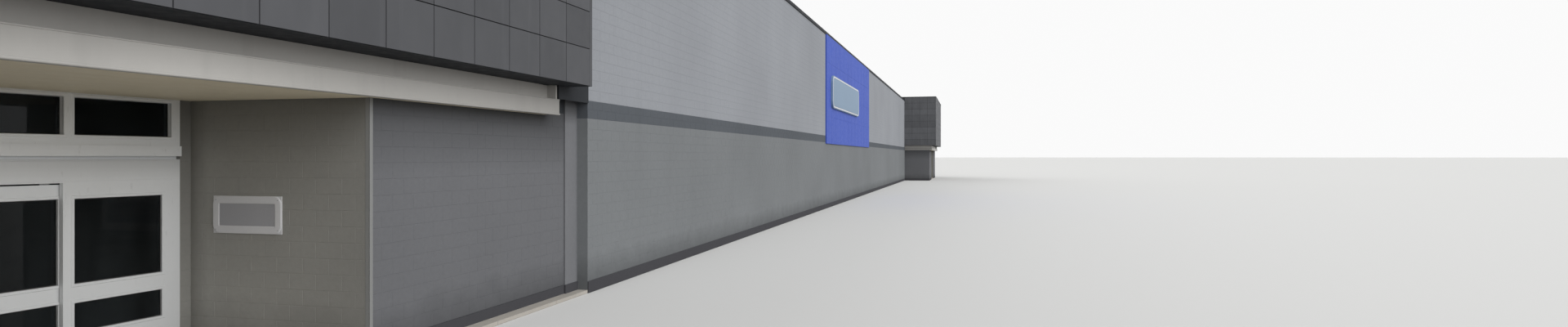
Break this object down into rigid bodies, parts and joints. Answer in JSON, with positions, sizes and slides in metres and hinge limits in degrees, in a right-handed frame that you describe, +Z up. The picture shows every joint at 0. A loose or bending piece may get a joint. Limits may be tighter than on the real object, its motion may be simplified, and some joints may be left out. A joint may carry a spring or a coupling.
{
  "type": "garden center store building, 1:10 scale model",
  "caption": "Long low garden store in gray block with two entrance porches, glass sliding doors, pale canopy bands and dark paneled towers, as a 1:10 model.",
  "frame": {"origin": "middle of the plan on the ground", "axes": "+Z up, the front with the entrances faces -Y, +X along the front from the left entrance to the right one"},
  "size_m": [11.528, 6.345, 0.915],
  "materials": {
    "lower_block": "matte painted block",
    "entrance_block": "matte painted block",
    "porch_block": "matte painted block",
    "stripe_block": "matte painted block",
    "upper_wall": "matte render",
    "dark_trim": "satin dark paint",
    "base_paint": "matte painted block",
    "tower_panel": "satin composite panel",
    "tower_frame": "matte dark paint",
    "roofing": "matte roofing sheet",
    "concrete": "trowelled concrete",
    "band_white": "satin off-white paint",
    "ceiling_tan": "matte tan paint",
    "post_gray": "satin paint",
    "blue_paint": "satin blue paint",
    "sign_white": "opal sheet",
    "plate_white": "satin white paint",
    "door_frame": "satin white anodised",
    "door_glass": "clear dark glass",
    "bare_metal": "mill finish",
    "hanger_steel": "plated"
  },
  "bodies": {
    "building": {"base_strip_ends": "base_paint", "base_strip_front_rear": "base_paint", "blank_sign_cabinet": "sign_white", "blank_wall_plate": "plate_white", "blue_wall_panel": "blue_paint", "canopy_bands": "band_white", "coping_ends": "dark_trim", "coping_front_rear": "dark_trim", "door_headers": "door_frame", "door_jambs": "door_frame", "door_piers": "porch_block", "door_thresholds": "bare_metal", "door_tracks": "bare_metal", "end_walls_lower": "lower_block", "end_walls_upper": "upper_wall", "entrance_front_walls": "entrance_block", "far_door_frames": "door_frame", "far_door_glass": "door_glass", "far_door_hangers": "hanger_steel", "floor_slab": "concrete", "front_wall_lower": "lower_block", "front_wall_upper": "upper_wall", "left_sidelight_frames": "door_frame", "left_sidelight_glass": "door_glass", "porch_ceilings": "ceiling_tan", "porch_side_walls": "porch_block", "rear_wall_lower": "lower_block", "rear_wall_upper": "upper_wall", "reveal_back_panels": "dark_trim", "reveal_posts": "post_gray", "right_entrance_side_walls": "entrance_block", "right_sidelight_frames": "door_frame", "right_sidelight_glass": "door_glass", "roof_deck": "roofing", "stripe_ends": "stripe_block", "stripe_front_rear": "stripe_block", "tower_caps": "dark_trim", "tower_end_plates": "tower_frame", "tower_front_back_plates": "tower_frame", "tower_front_panels": "tower_panel", "tower_roofs": "roofing", "tower_side_panels": "tower_panel", "tower_soffits": "dark_trim", "transom_frames": "door_frame", "transom_glass": "door_glass"},
    "left_leaf": {"left_leaf_frame": "door_frame", "left_leaf_glass": "door_glass", "left_leaf_hangers": "hanger_steel"},
    "right_leaf": {"right_leaf_frame": "door_frame", "right_leaf_glass": "door_glass", "right_leaf_hangers": "hanger_steel"}
  },
  "joints": [
    {"name": "left_leaf_slide", "type": "slide", "parent": "building", "child": "left_leaf", "axis": [-1, 0, 0], "range_m": [0, 0.105]},
    {"name": "right_leaf_slide", "type": "slide", "parent": "building", "child": "right_leaf", "axis": [1, 0, 0], "range_m": [0, 0.105]}
  ],
  "couplings": [
    {"joint": "right_leaf_slide", "follows": "left_leaf_slide", "ratio": 1}
  ]
}
